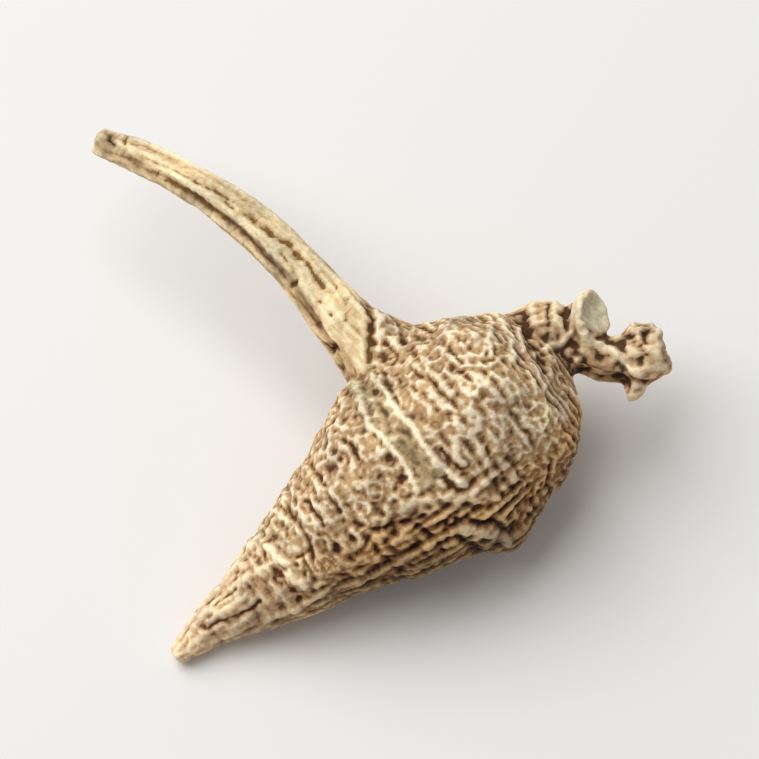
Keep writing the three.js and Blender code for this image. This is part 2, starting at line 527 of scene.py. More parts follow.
@dataclass(frozen=True)
class Mark:
    """A single ridge, groove, bump or pit on the side that faces the viewer.

    Its line is drawn on the slanted plane that faces the viewer: rightwards, and up
    along the slant. One point alone makes a bump or a pit. Its tone lightens or darkens
    the skin, and a strong one makes it pale or black. The darkening and the black in its
    grooves, pits and holes are painted shade.
    """

    BROAD = 1.0
    PRESSED = 0.7
    # From which tone it makes the skin pale or paints it black as shade, and over how much more
    PALE, SHADE_BLACK = (0.3, 0.2), (-0.5, -0.5)

    line: tuple[FlatPoint, ...]
    width: float
    height: float
    tone: float

    def pressed(self) -> float:
        """Give the share of the wrinkles that it presses flat; a broad mark is only a tone."""
        return self.PRESSED if self.width < self.BROAD else 0.0

    def past(self, start: float, more: float) -> float:
        """Say how far its tone goes past a start, in shares of what is more."""
        return max((self.tone - start) / more, 0.0)

    def falloff(self, flat: Array) -> Array:
        """Say how near points are to the mark.

        Args:
            flat: Places on the slanted plane, one row each.

        Returns:
            1 on the mark, fading to 0 beside it.
        """
        line = np.array(self.line)
        nearest = np.linalg.norm(flat - line[0], axis=1)
        for start, end in zip(line[:-1], line[1:]):
            step = end - start
            share = np.clip((flat - start) @ step / (step @ step), 0.0, 1.0)
            gap = np.linalg.norm(flat - start - share[:, None] * step, axis=1)
            nearest = np.minimum(nearest, gap)
        return peak(nearest / self.width)


# Each mark's line, width, height and tone
MARKS = tuple(Mark(*row) for row in (
    # The two pale welts across the body, and the trough between them
    (((-0.5, 0.5), (0.2, -0.6), (1.4, -2.2), (2.7, -3.8), (4.0, -5.6), (5.2, -6.8),
      (6.5, -7.9)), 0.26, 0.38, 0.5),
    (((-1.7, -1.3), (-1.0, -3.2), (0.4, -4.6), (1.6, -5.8), (2.3, -7.4), (2.9, -8.3)), 0.27, 0.3, 0.45),
    (((-0.2, -1.8), (1.2, -3.6), (2.6, -5.6), (4.2, -7.4)), 0.6, -0.18, -0.12),
    # Short wrinkles beside the welts' lower ends
    (((5.8, -4.9), (6.6, -6.4)), 0.28, 0.24, 0.35),
    (((4.8, -5.0), (6.4, -6.9)), 0.2, -0.26, -0.35),
    (((4.8, -7.5), (6.3, -8.4)), 0.22, -0.3, -0.4),
    # The fold low on the front, with the grooves and the pale ridge under it
    (((1.4, -9.8), (3.4, -9.3), (6.3, -8.8), (9.0, -9.2)), 0.5, 0.32, 0.12),
    (((-2.2, -11.0), (-0.6, -11.6), (1.4, -10.9), (3.4, -10.4)), 0.3, -0.32, -0.3),
    (((5.2, -11.2), (7.1, -10.9), (9.0, -11.0), (9.8, -11.7)), 0.34, -0.45, -0.4),
    (((6.6, -11.6), (8.0, -11.8), (9.2, -12.0), (10.2, -12.7)), 0.34, 0.34, 0.5),
    (((6.4, -12.3), (7.5, -13.2), (8.3, -14.1)), 0.4, -0.4, -0.4),
    # A pale ridge across the start of the tail, and creases near it
    (((-8.9, -13.0), (-7.8, -14.1), (-6.8, -15.2), (-6.0, -16.3)), 0.3, 0.34, 0.5),
    (((-6.0, -9.2), (-5.3, -10.1), (-4.6, -11.2)), 0.24, -0.3, -0.35),
    (((-6.6, -13.8), (-5.5, -12.8)), 0.2, -0.25, -0.35),
    # Creases along the tail, and a ridge between them
    (((-14.0, -19.6), (-12.2, -19.0), (-10.9, -18.3), (-9.7, -17.4)), 0.24, -0.34, -0.35),
    (((-13.3, -17.7), (-11.7, -16.3)), 0.2, -0.24, -0.3),
    (((-13.7, -18.9), (-12.2, -18.0), (-10.8, -16.9)), 0.3, 0.2, 0.3),
    # Pale strokes on the crown, and a broad lighter patch
    (((8.5, 4.6), (8.7, 2.4)), 0.22, 0.2, 0.4),
    (((9.7, 4.9), (10.3, 3.4), (10.6, 2.0)), 0.24, 0.24, 0.5),
    (((11.0, 4.4), (11.4, 2.6)), 0.2, 0.16, 0.35),
    (((7.0, -2.4), (12.4, -3.0)), 2.6, 0, 0.25),
    # Pits low on the front and at the start of the tail
    (((9.1, -7.6),), 0.3, -0.34, -0.45),
    (((-8.1, -15.4),), 0.5, -0.35, -0.4),
    (((-6.8, -16.6),), 0.5, -0.4, -0.4),
    (((-3.5, -13.0),), 0.42, -0.45, -0.5),
    (((-2.2, -12.3),), 0.35, -0.35, -0.4),
    # Pits beside the welts
    (((1.6, -7.6),), 0.34, -0.45, -0.6),
    (((-4.1, -6.7),), 0.4, -0.25, -0.35),
    (((-2.3, -5.4),), 0.3, -0.3, -0.4),
    (((0.8, -5.9),), 0.34, -0.3, -0.4),
    # The two long dark grooves of the side root
    (((-19.4, 18.3), (-16.4, 17.2), (-13.5, 15.6), (-11.6, 13.8), (-9.7, 12.8), (-7.5, 11.3), (-5.6, 9.3),
      (-4.7, 7.8)), 0.27, -0.24, -0.42),
    (((-22.6, 18.9), (-18.7, 17.0), (-15.3, 14.9), (-12.0, 12.8), (-10.4, 11.6), (-7.5, 8.7),
      (-4.9, 4.8)), 0.34, -0.08, -0.66),
    # A crease and a bulge half way along it, and finer creases
    (((-8.0, 10.4), (-7.2, 9.4), (-6.7, 8.3), (-7.2, 7.8)), 0.26, -0.22, -0.42),
    (((-8.9, 10.6), (-8.4, 10.1)), 0.45, 0.25, 0.25),
    (((-20.8, 20.6), (-20.9, 19.8), (-20.8, 19.0)), 0.18, -0.16, -0.3),
    (((-3.6, 7.8), (-2.8, 6.2)), 0.16, -0.12, -0.25),
    (((-17.6, 16.6), (-15.4, 15.4), (-13.2, 13.8)), 0.16, -0.14, -0.25),
    # The groove between its foot and the crown, darkened as painted shade
    (((-1.2, 7.0), (-0.7, 5.1), (-0.9, 3.4), (-1.2, 1.8)), 0.36, -0.5, -0.5),
    (((-0.3, 5.8), (0.3, 5.4)), 0.5, 0.25, 0.3),
    # The hollow of its broken tip, painted black as shade
    (((-22.1, 19.8),), 0.44, -0.5, -1),
    # Fine pits near its foot
    (((-4.8, 6.4),), 0.22, -0.14, -0.35),
    (((-2.6, 6.6),), 0.22, -0.14, -0.3),
    (((-4.0, 5.5),), 0.24, -0.16, -0.4),
    (((-2.8, 5.0),), 0.24, -0.14, -0.35),
    (((-7.3, 11.0),), 0.2, -0.1, -0.3),
    # Two holes at its lower edge, painted dark as shade, and the knob under them
    (((-4.1, 2.7),), 0.46, -0.75, -1),
    (((-3.5, 1.0),), 0.44, -0.5, -0.7),
    (((-2.0, -0.2),), 0.5, 0.3, 0.1),
    (((-0.6, -0.6),), 0.3, -0.3, -0.45),
    # The cleft between the neck and the crown, darkened as painted shade, and the steps beside it
    (((11.2, 5.8), (11.9, 4.2), (12.7, 2.6), (13.2, 1.1)), 0.42, -0.6, -0.6),
    (((13.4, 7.1), (13.4, 4.6)), 0.2, -0.28, -0.35),
    (((14.8, 6.5), (14.8, 4.3)), 0.2, -0.28, -0.35),
    (((14.1, 7.3), (14.1, 5.0)), 0.24, 0.22, 0.35),
    # Pale ridges that run past the stem scar to the end knob
    (((13.2, 2.8), (14.2, 3.2), (15.2, 4.1)), 0.28, 0.3, 0.4),
    (((16.0, 4.7), (16.4, 3.6), (17.4, 3.0), (18.6, 2.6), (19.6, 1.9), (20.3, 1.2)), 0.34, 0.42, 0.5),
    (((15.8, 7.5), (15.9, 6.2), (16.2, 4.8)), 0.3, 0.12, 0.6),
    # Grooves under and over the neck, and painted shade on its lower side
    (((16.3, 1.4), (17.8, 0.9), (19.2, 0.5)), 0.5, -0.45, -0.5),
    (((17.8, 3.8), (18.8, 3.2)), 0.3, -0.35, -0.4),
    (((13.8, 1.9), (15.4, 2.1), (17.2, 1.7), (18.8, 0.7)), 1.0, 0, -0.42),
    # The end knob's lower rim, and its darker tone
    (((20.8, 1.0), (21.8, 1.3), (22.5, 2.1)), 0.4, 0.22, 0.2),
    (((20.2, 3.4), (21.6, 1.6)), 1.3, 0, -0.24),
    # Holes of the end knob, painted dark as shade
    (((19.9, 3.9),), 0.46, -0.55, -0.85),
    (((21.3, 4.2),), 0.44, -0.5, -0.8),
    (((20.8, 2.9),), 0.34, -0.45, -0.6),
    (((20.7, 1.8),), 0.3, -0.4, -0.5),
    # Bumps between them
    (((22.4, 4.1),), 0.5, 0.25, 0.3),
    (((20.2, 2.5),), 0.42, 0.2, 0.25),
    (((21.8, 2.8),), 0.5, 0.2, 0.15),
    (((20.6, 3.6),), 0.3, 0.15, 0.3),
))
# The two welts' band, and the upper edge of the painted shade on the flank from the tail to the neck
BAND_MARK = Mark(((-2.2, 0.2), (-0.6, -1.6), (1.2, -3.6), (2.6, -5.6), (4.2, -7.4)), 1.0, 0.0, 0.0)
FLANK_EDGE: tuple[FlatPoint, ...] = (
    (-18.0, -20.5), (-10.2, -14.1), (-2.6, -11.6), (0.4, -9.7), (6.7, -8.2), (10.1, -7.3),
    (13.3, -4.4), (14.8, -2.0), (16.0, 1.0),
)


class ViewerSide:
    """The slanted plane that faces the viewer, on which marks are drawn.

    The plane is swayed by noise, so that a mark's line wavers, and a mark's vigour
    comes and goes along it.
    """

    # The plane sways to the right and upwards. Each sway has a cell size and a reach
    SWAY_SEEDS = (71, 73)
    SWAYS = ((0.55, 0.13), (1.6, 0.22))
    VIGOUR_SEED, VIGOUR_CELL = 79, 0.7
    VIGOUR_MEAN, VIGOUR_SWING = 0.8, 0.5
    FACING = Rise(0.0, 0.25)

    def __init__(self, points: Array, normals: Array) -> None:
        """Lay points onto the plane.

        Args:
            points: Places in space, one row each.
            normals: The outward direction at each.
        """
        sway = [sum(SpaceNoise(seed + k).at(points / cell) * reach
                    for k, (cell, reach) in enumerate(self.SWAYS)) for seed in self.SWAY_SEEDS]
        self.flat = np.stack([points[:, 0] + sway[0], points @ VIEW_UP + sway[1]], axis=1)
        vigour = SpaceNoise(self.VIGOUR_SEED).at(points / self.VIGOUR_CELL)
        self.vigour = self.VIGOUR_MEAN + self.VIGOUR_SWING * vigour
        self.seen = self.FACING.of(normals @ TO_VIEWER)

    def beyond(self, edge: tuple[FlatPoint, ...]) -> Array:
        """Say how many millimetres points lie below an edge that runs across the plane."""
        across, upward = np.array(edge).T
        return np.interp(self.flat[:, 0], across, upward) - self.flat[:, 1]

    def cover(self, mark: Mark) -> Array:
        """Say how much a mark covers each point."""
        return mark.falloff(self.flat) * self.seen * self.vigour


@dataclass(frozen=True)
class Swell:
    """A broad swelling of the body, or a hollow where its height is below zero."""

    distance: float
    degrees: float
    height: float
    along: float
    round: float

    def raised(self, distance: Array, degrees: Array) -> Array:
        """Say how much the skin is raised.

        Args:
            distance: How far along the body.
            degrees: How far round it.

        Returns:
            The height that the swelling adds.
        """
        onward = (distance - self.distance) / self.along
        gap = (degrees - self.degrees + 3 * HALF_DEGREES) % (2 * HALF_DEGREES) - HALF_DEGREES
        return self.height * np.exp(-(onward**2) - (gap / self.round) ** 2)


@dataclass(frozen=True)
class Body:
    """The body and tail: their shape and the wrinkles of their skin."""

    END_MARGIN = 0.04

    # The smooth shape
    shoulder: float = 8.1
    tip: float = 0.8
    lump: float = 0.025
    lump_drifts: tuple[tuple[float, float], ...] = ((2, 0.35), (3, -0.5))
    stations: int = 160
    columns: int = 120
    spine: Spine = field(default_factory=lambda: Spine(BODY_ROWS))
    swells: tuple[Swell, ...] = (Swell(4.6, 27, -0.9, 2.0, 24), Swell(12.6, 198, 1.9, 2.6, 26))

    # Rings: how far apart, how they bend and where they break off
    shoulder_pitch: float = 1.0
    tail_pitch: float = 1.35
    least_pitch: float = 0.3
    bends: tuple[Grain, ...] = (Grain(3, 3.6, 3.0, 0.8), Grain(5, 1.5, 1.3, 0.3))
    breaks: Grain = Grain(7, 1.3, 2.0)
    unbroken: Rise = Rise(-0.5, 0.4)
    deep_every: float = 3.0
    deep_width: float = 0.22
    deep_depth: float = 0.13

    # How regular the skin is, most of all on the crown: long wrinkles there, else short ones
    regularity: Grain = Grain(9, 5.0, 4.0, 0.6)
    regular_mean: float = 0.45
    crown: Rise = Rise(9.0, 3.0, 0.4)
    regular_limits: tuple[float, ...] = (0.1, 1.0)
    short_waves: Grain = Grain(11, 0.58, 0.68)
    long_waves: Grain = Grain(13, 0.5, 1.5)
    vein_lines: Grain = Grain(17, 0.95, 1.35)
    vein_width: float = 0.2
    vein_mean: float = 0.4
    ring_share: float = 0.85
    wave_share: float = 1.9
    regular_calm: float = 0.5
    vein_share: float = 0.75
    steepness: float = 1.1
    wrinkle: float = 0.15
    vigour: Grain = Grain(15, 3.0, 3.0, 0.45)

    # Coarser and finer relief
    coarse: tuple[Grain, ...] = (Grain(21, 1.5, 2.4, 1.8, 0.14), Grain(23, 4.6, 3.6, 0.22))
    grit: Grain = Grain(19, 0.28, 0.34, 0.05)
    full_radius: float = 4.0
    least_slim: float = 0.5

    # Furrows along the body, deeper on the tail, and fine lines on the flank and tail
    tail: Rise = Rise(24.0, 34.0)
    swirl: Grain = Grain(29, 9.0, 3.0, 1.4)
    furrows: float = 9.0
    furrow_sway: float = 1.5
    furrow_bend: float = 5.0
    furrow_depth: float = 0.12
    tail_furrow: float = 0.06
    flank_turn: Rise = Rise(0.5, 0.8)
    flank_start: Rise = Rise(7.0, 13.0)
    flank_calm: float = 0.3
    lines: Grain = Grain(31, 3.4, 0.75, 2.2)
    flank_line: float = 0.24
    tail_line: float = 0.12

    def fullness(self, distance: Array) -> Array:
        """Say how full the body is near its rounded ends.

        Args:
            distance: How far along the body.

        Returns:
            0 at the very ends, 1 between them.
        """
        near = 1.0 - np.clip(distance / self.shoulder, 0.0, 1.0)
        far = 1.0 - np.clip((self.spine.length - distance) / self.tip, 0.0, 1.0)
        return np.sqrt((1.0 - near**2) * (1.0 - far**2))

    def skin_point(self, distance: float, degrees: float, height: float) -> Array:
        """Give the point at a height over the smooth skin."""
        along, turn = np.array(distance), np.array(math.radians(degrees))
        return self.spine.points(along, turn, self.smooth_reach(along, turn) + height)

    def smooth_reach(self, distance: Array, angle: Array) -> Array:
        """Say how far the skin is from the centreline, without its wrinkles."""
        swollen = sum(swell.raised(distance, np.degrees(angle)) for swell in self.swells)
        return (self.spine.radius_at(distance) + swollen) * self.fullness(distance)

    def add_to(self, shells: Shells) -> None:
        """Add the body's smooth shell.

        Args:
            shells: Where the shell goes.
        """
        steps = np.linspace(self.END_MARGIN, math.pi - self.END_MARGIN, self.stations)
        distance = ripple(steps)[:, None] * self.spine.length
        angle = round_angles(self.columns)
        lumps = sum(np.cos(count * angle + drift * distance) for count, drift in self.lump_drifts)
        reach = self.smooth_reach(distance, angle) * (1.0 + self.lump * lumps)
        shells.add_tube(self.spine, distance, reach)

    def ring_number(self, distance: Array) -> Array:
        """Count rings from the shoulder, closer together there than at the tail.

        Args:
            distance: How far along the body, measured over the skin.

        Returns:
            The ring's number, with its fraction.
        """
        growth = (self.tail_pitch - self.shoulder_pitch) / self.spine.length
        pitch = np.maximum(self.shoulder_pitch + growth * distance, self.least_pitch)
        return np.log(pitch / self.shoulder_pitch) / growth

    def over_skin(self, distance: Array) -> Array:
        """Turn distance along the centreline into distance over the rounded shoulder.

        Args:
            distance: How far along the centreline.

        Returns:
            How far over the skin.
        """
        share = np.clip(1.0 - distance / self.shoulder, 0.0, 1.0)
        arc = self.shoulder * (np.arccos(share) - math.pi / 2 + 1.0)
        return np.where(distance < self.shoulder, arc, distance)

    def height(self, place: Place) -> Array:
        """Wrinkle the skin.

        Args:
            place: Where the points lie on the body.

        Returns:
            The height over the smooth skin.
        """
        along = place.distance
        slim = np.clip(place.radius / self.full_radius, self.least_slim, 1.0)
        count = self.ring_number(self.over_skin(along) + sum(bend.on(place) for bend in self.bends))
        unbroken = self.unbroken.of(self.breaks.on(place))
        regular = self.regular_mean + self.crown.of(along) + self.regularity.on(place)
        regular = np.clip(regular, *self.regular_limits)
        rings = regular * np.cos(FULL_TURN * count) * unbroken
        waves = regular * self.long_waves.on(place) + (1.0 - regular) * self.short_waves.on(place)
        veins = peak(self.vein_lines.on(place) / self.vein_width) - self.vein_mean
        pattern = self.ring_share * rings + self.vein_share * veins
        pattern += self.wave_share * (1.0 - self.regular_calm * regular) * waves
        height = self.wrinkle * (1.0 + self.vigour.on(place)) * np.tanh(self.steepness * pattern)

        deep = peak(np.cos(math.pi * count / self.deep_every) / self.deep_width)
        height -= self.deep_depth * deep * unbroken
        height += sum(grain.on(place) for grain in self.coarse)
        tail = self.tail.of(along)
        sway = self.furrow_sway * np.sin(along / self.furrow_bend) + self.swirl.on(place)
        furrows = ripple(self.furrows * place.angle + sway)
        height -= (self.furrow_depth + self.tail_furrow * tail) * furrows
        height = height * slim + self.grit.on(place)

        flank = self.flank_turn.of(-np.cos(place.angle)) * self.flank_start.of(along)
        line_depth = self.flank_line * flank * (1.0 - tail) + self.tail_line * tail
        return height * (1.0 - self.flank_calm * flank) + line_depth * np.tanh(self.lines.on(place))


@dataclass(frozen=True)
class SideRoot(BrokenLimb):
    """The curved side root, whose wrinkles run along it."""

    leaves_body: Rise = Rise(-0.5, -1.3)
    strands: tuple[Grain, ...] = (
        Grain(37, 6.0, 0.62, 1.6, 0.12), Grain(41, 2.4, 0.26, 0.06), Grain(43, 0.6, 0.9, 0.05),
        Grain(45, 3.0, 2.0, 0.12),
    )
    cracks: Grain = Grain(47, 2.2, 2.6)
    crack_depth: Rise = Rise(0.08, 0.0, 0.05)

    def height(self, place: Place) -> Array:
        """Give the height of its wrinkles at each place on it."""
        height = sum(grain.on(place) for grain in self.strands)
        return height - self.crack_depth.of(np.abs(self.cracks.on(place)))


@dataclass(frozen=True)
class Neck(BrokenLimb):
    """The knobbed neck, stepped by the scars of each year's stem."""

    step: float = 2.1
    step_depth: float = 0.18
    waver: Grain = Grain(53, 2.0, 2.0, 2.0)
    knobs: tuple[Grain, ...] = (Grain(59, 0.8, 0.75, 1.6, 0.2), Grain(61, 0.32, 0.32, 0.06))

    def height(self, place: Place) -> Array:
        """Give the height of its knobs and steps at each place on it."""
        steps = ripple(place.distance * FULL_TURN / self.step + self.waver.on(place))
        return sum(grain.on(place) for grain in self.knobs) - self.step_depth * steps


@dataclass(frozen=True)
class GinsengRoot:
    """The whole root: its limbs, its rootlets' stubs and its single marks."""

    body: Body = field(default_factory=Body)
    side_root: SideRoot = SideRoot(SIDE_ROWS, furrows=5, depth=0.3, drift=0.12, dimple=0.35)
    neck: Neck = Neck(NECK_ROWS, furrows=7, depth=0.35, drift=0.35, dimple=0.8)
    scar: StemScar = StemScar()
    # Each rootlet's place along and round the body in degrees, its length and its radius
    rootlets: tuple[tuple[float, float, float, float], ...] = (
        (9.5, 322, 1.9, 0.75), (19.0, 312, 1.5, 0.6), (24.5, 322, 2.2, 0.6),
    )
    rootlet_sink: float = 1.0
    rootlet_lean: float = 0.5
    rootlet_taper: tuple[float, ...] = (1.5, 1.0, 0.7)
    marks: tuple[Mark, ...] = MARKS

    def _rootlet(self, distance: float, degrees: float, length: float, radius: float) -> BrokenLimb:
        """Give the stub of a fine rootlet, leaning towards the tail.

        Args:
            distance: How far along the body it stands.
            degrees: How far round the body.
            length: How far it stands out.
            radius: Its radius.

        Returns:
            The stub.
        """
        rows = []
        for out, width in zip((-self.rootlet_sink, length / 2, length), self.rootlet_taper):
            lean = max(out, 0.0) * self.rootlet_lean
            spot = self.body.skin_point(distance + lean, degrees, out)
            rows.append((*spot.tolist(), radius * width))
        return BrokenLimb(tuple(rows), furrows=3, depth=0.08, drift=0.4, dimple=0.1,
                          stations=12, columns=20)

    def shells(self) -> Shells:
        """Build all the limbs.

        Returns:
            Closed shells that overlap.
        """
        shells = Shells()
        for part in (self.body, self.side_root, self.neck, self.scar, Spindle(SPUR_ROWS)):
            part.add_to(shells)
        for rootlet in self.rootlets:
            self._rootlet(*rootlet).add_to(shells)
        return shells


def rows_of(items: object, name: str, width: int, kind: type = float) -> Array:
    """Read a property of a mesh's items.

    Args:
        items: The vertices or edges.
        name: The property's name.
        width: How many numbers each item has.
        kind: The numbers' type.

    Returns:
        One row for each item.
    """
    values = np.empty(len(items) * width, dtype=kind)
    items.foreach_get(name, values)
    return values.reshape(-1, width)


class Skin:
    """The root's skin: one closed mesh that is fused, relaxed and then wrinkled."""

    VOXEL = 0.182
    # How a point's gap to each limb turns into that limb's share of it
    LIMB_BLEND, LIMB_SINK, LIMB_FAR, LIMB_LEAST = 0.28, 0.3, 8.0, 1e-9
    # Smoothing, as strength and passes: all over, and then where limbs meet
    SMOOTHING, JOINT_SMOOTHING = (0.5, 4), (0.6, 26)
    JOINT_GAIN = 2.2
    # How much the scar and the band calm the wrinkles
    SCAR_CALM, BAND_CALM = 0.75, 0.3
    # The relief mask, which darkens hollows as painted shade and lightens crests as painted highlight
    # besides the skin's own tones: how wide each comparison is and its gain, and the gain of the marks
    STAND_STRENGTH = 0.5
    RELIEF_PARTS = ((6, 0.34), (30, 0.42))
    RELIEF_TONE = 0.35
    # How the masks rise: by distance on a limb, by slope and by place in the view. The rises by slope and
    # by place in the view lay painted shade on steep sides and low on the flank
    TIP_SHARE, TIP_LENGTHS = 0.5, (4.0, 1.0)
    BAND_SHARE = 0.6
    TAIL, SLENDER = Rise(25.0, 35.0), Rise(22.0, 29.0, 0.6)
    STEEP_SHADE = Rise(0.7, 0.0, 0.6)
    FLANK, DEEP = Rise(-0.8, 2.4, 0.9), Rise(2.8, 6.0, 0.6)
    SCAR = Rise(3.9, 4.7)

    def __init__(self, root: GinsengRoot) -> None:
        """Fuse the limbs.

        Args:
            root: The root whose skin this is.
        """
        self.root = root
        self.mesh = self._fuse(root.shells())
        self.points = rows_of(self.mesh.vertices, "co", 3)
        edges = rows_of(self.mesh.edges, "vertices", 2, int)
        self.ends = np.concatenate([edges[:, 0], edges[:, 1]])
        self.others = np.concatenate([edges[:, 1], edges[:, 0]])
        count = len(self.points)
        self.valence = np.maximum(np.bincount(self.ends, minlength=count), 1)
        LOG.info("fused skin: %d points, %d faces", count, len(self.mesh.polygons))

    def _fuse(self, shells: Shells) -> bpy.types.Mesh:
        """Fuse overlapping shells into one closed mesh.

        Args:
            shells: The shells.

        Returns:
            The mesh, in millimetres.
        """
        rough = put("limbs", shells.mesh("limbs"))
        remesh = rough.modifiers.new("fuse", "REMESH")
        remesh.mode = "VOXEL"
        remesh.voxel_size = self.VOXEL
        graph = bpy.context.evaluated_depsgraph_get()
        fused = bpy.data.meshes.new_from_object(rough.evaluated_get(graph))
        bpy.data.objects.remove(rough)
        return fused

    def _relaxed(self, points: Array, strength: float | Array, passes: int) -> Array:
        """Smooth points over the skin.

        Args:
            points: The points to smooth.
            strength: How far each moves to the middle of its neighbours.
            passes: How many times.

        Returns:
            The smoothed points.
        """
        strength = np.broadcast_to(strength, len(points))[:, None]
        for _ in range(passes):
            sums = [np.bincount(self.ends, points[self.others, k], len(points)) for k in range(3)]
            middle = np.stack(sums, axis=1) / self.valence[:, None]
            points = points + (middle - points) * strength
        return points

    def _normals(self) -> Array:
        """Work out which way the skin faces.

        Returns:
            The outward direction at each point.
        """
        self.mesh.vertices.foreach_set("co", self.points.ravel())
        self.mesh.update()
        return rows_of(self.mesh.vertices, "normal", 3)

    def _limb_shares(self) -> tuple[list[Place], Array]:
        """Say which limb each point belongs to.

        Returns:
            The place on each limb, and the share of each limb, one column each.
        """
        root = self.root
        spines = (root.body.spine, root.side_root.spine(), root.neck.spine())
        places = [spine.locate(self.points) for spine in spines]
        gaps = np.stack([place.reach - place.radius for place in places], axis=1)
        gaps[:, 0] = places[0].reach - root.body.smooth_reach(places[0].distance, places[0].angle)
        pull = np.exp(-np.clip(gaps + self.LIMB_SINK, 0.0, self.LIMB_FAR) / self.LIMB_BLEND)
        pull += self.LIMB_LEAST
        return places, pull / pull.sum(axis=1, keepdims=True)

    def _stand_out(self, passes: int) -> Array:
        """Say how far each point stands above or below the skin around it.

        Args:
            passes: How wide the compared surroundings are.

        Returns:
            Heights, in units of their own spread.
        """
        smooth = self._relaxed(self.points, self.STAND_STRENGTH, passes)
        stand = dots(self.points - smooth, self._normals())
        return stand / stand.std()

    def wrinkle(self) -> None:
        """Relax the joints between limbs, raise the wrinkles and record the masks."""
        root = self.root
        places, shares = self._limb_shares()
        meeting = np.clip((1.0 - shares.max(axis=1)) * self.JOINT_GAIN, 0.0, 1.0)
        self.points = self._relaxed(self.points, *self.SMOOTHING)
        strength, passes = self.JOINT_SMOOTHING
        self.points = self._relaxed(self.points, strength * meeting, passes)
        normals = self._normals()
        side = ViewerSide(self.points, normals)
        kept = root.side_root.leaves_body.of(side.flat[:, 0])
        shares[:, 0] += shares[:, 1] * (1.0 - kept)
        shares[:, 1] *= kept
        face, whole = root.scar.masks(self.points)
        band = side.cover(BAND_MARK)

        limbs = (root.body, root.side_root, root.neck)
        height = sum(shares[:, k] * limb.height(places[k]) for k, limb in enumerate(limbs))
        height *= (1.0 - self.SCAR_CALM * whole) * (1.0 - self.BAND_CALM * band)
        tone, pale, black, raised = (np.zeros(len(self.points)) for _ in range(4))
        for mark in root.marks:
            cover = side.cover(mark)
            raised += mark.height * cover
            height *= 1.0 - mark.pressed() * cover
            tone += mark.tone * cover
            pale = np.maximum(pale, mark.past(*mark.PALE) * cover)
            black = np.maximum(black, mark.past(*mark.SHADE_BLACK) * cover)
        self.points = self.points + normals * (height + raised)[:, None]
        self.points[:, 2] = np.maximum(self.points[:, 2], 0.0)
        self._record_limbs(places, shares)

        # The relief mask darkens hollows and lightens crests by how far each point stands out: partly the
        # skin's own tones, partly painted shade and painted highlight
        stand = sum(gain * self._stand_out(passes) for passes, gain in self.RELIEF_PARTS)
        # Painted shade: steep sides darken by their slope, and the flank darkens below its edge in the
        # view
        below = side.beyond(FLANK_EDGE)
        stout = shares[:, 0] * (1.0 - self.SLENDER.of(places[0].distance))
        self._record({
            Zone.RELIEF: 0.5 + 0.5 * np.tanh(stand) + self.RELIEF_TONE * tone,
            Zone.PALE: pale,
            Zone.BAND: self.BAND_SHARE * band * shares[:, 0],
            Zone.SCAR: face * self.SCAR.of(side.flat[:, 1]),
            Zone.UNDER_SHADE: np.maximum(self.STEEP_SHADE.of(normals[:, 2]), self.FLANK.of(below) * stout),
            # Painted shade: black in the marks' holes and pits, and low on the flank
            Zone.SHADE_BLACK: np.maximum(black, self.DEEP.of(below) * stout),
        })

    def _record_limbs(self, places: list[Place], shares: Array) -> None:
        """Keep which limb each point belongs to, and where it lies on the limbs.

        Args:
            places: The place on the body, the side root and the neck.
            shares: The share of each, one column each.
        """
        end = self.root.side_root.spine().length
        tip = Rise(*(end - length for length in self.TIP_LENGTHS), self.TIP_SHARE)
        self._record({
            Zone.SIDE: shares[:, 1],
            Zone.NECK: shares[:, 2] + shares[:, 1] * tip.of(places[1].distance),
            Zone.TAIL: shares[:, 0] * self.TAIL.of(places[0].distance),
        })
        grain = sum(shares[:, k:k + 1] * place.limb_space() for k, place in enumerate(places))
        layer = self.mesh.attributes.new("grain", "FLOAT_VECTOR", "POINT")
        layer.data.foreach_set("vector", grain.astype(np.float32).ravel())

    def _record(self, masks: dict[Zone, Array]) -> None:
        """Keep masks on the mesh.

        Args:
            masks: How much of each zone every point has.
        """
        for zone, values in masks.items():
            layer = self.mesh.attributes.new(zone.value, "FLOAT", "POINT")
            layer.data.foreach_set("value", np.clip(values, 0.0, 1.0).astype(np.float32))

    def placed_on(self, low: Array, high: Array) -> bpy.types.Object:
        """Move the skin into a box, in metres.

        Args:
            low: The box's lowest corner.
            high: Its highest corner.

        Returns:
            The skin's object.
        """
        points = self.points * MM
        shift = (low + high) / 2 - (points.min(axis=0) + points.max(axis=0)) / 2
        shift[2] = low[2] - points[:, 2].min()
        self.mesh.vertices.foreach_set("co", (points + shift).ravel())
        self.mesh.polygons.foreach_set("use_smooth", np.ones(len(self.mesh.polygons), dtype=bool))
        self.mesh.update()
        return put("root_skin", self.mesh)


def linear(colour: Colour) -> tuple[float, float, float, float]:
    """Turn a colour as seen on a screen, from 0 to 255, into a shader's linear colour."""
    # The numbers are those of the sRGB standard
    channels = [channel / 255.0 for channel in colour]
    return (*(c / 12.92 if c <= 0.04045 else ((c + 0.055) / 1.055) ** 2.4 for c in channels), 1.0)


@dataclass(frozen=True)
class Tone:
    """The three colours of a skin: in its grooves, on its flats and along its ridges. Dark grooves and
    pale ridges are partly its own colour, partly painted shade and painted highlight.
    """

    groove: Colour
    flat: Colour
    ridge: Colour


# Each groove colour also holds painted shade and each ridge colour painted highlight, beside the skin's
# own tones
BARK_TONE = Tone((80, 47, 22), (188, 153, 109), (246, 230, 198))
SIDE_TONE = Tone((128, 92, 48), (222, 194, 147), (248, 231, 191))
NECK_TONE = Tone((78, 52, 30), (190, 156, 117), (230, 210, 174))
TAIL_TONE = Tone((122, 82, 44), (230, 197, 155), (252, 237, 204))
BAND_TONE = Tone((84, 78, 50), (166, 154, 116), (222, 214, 178))
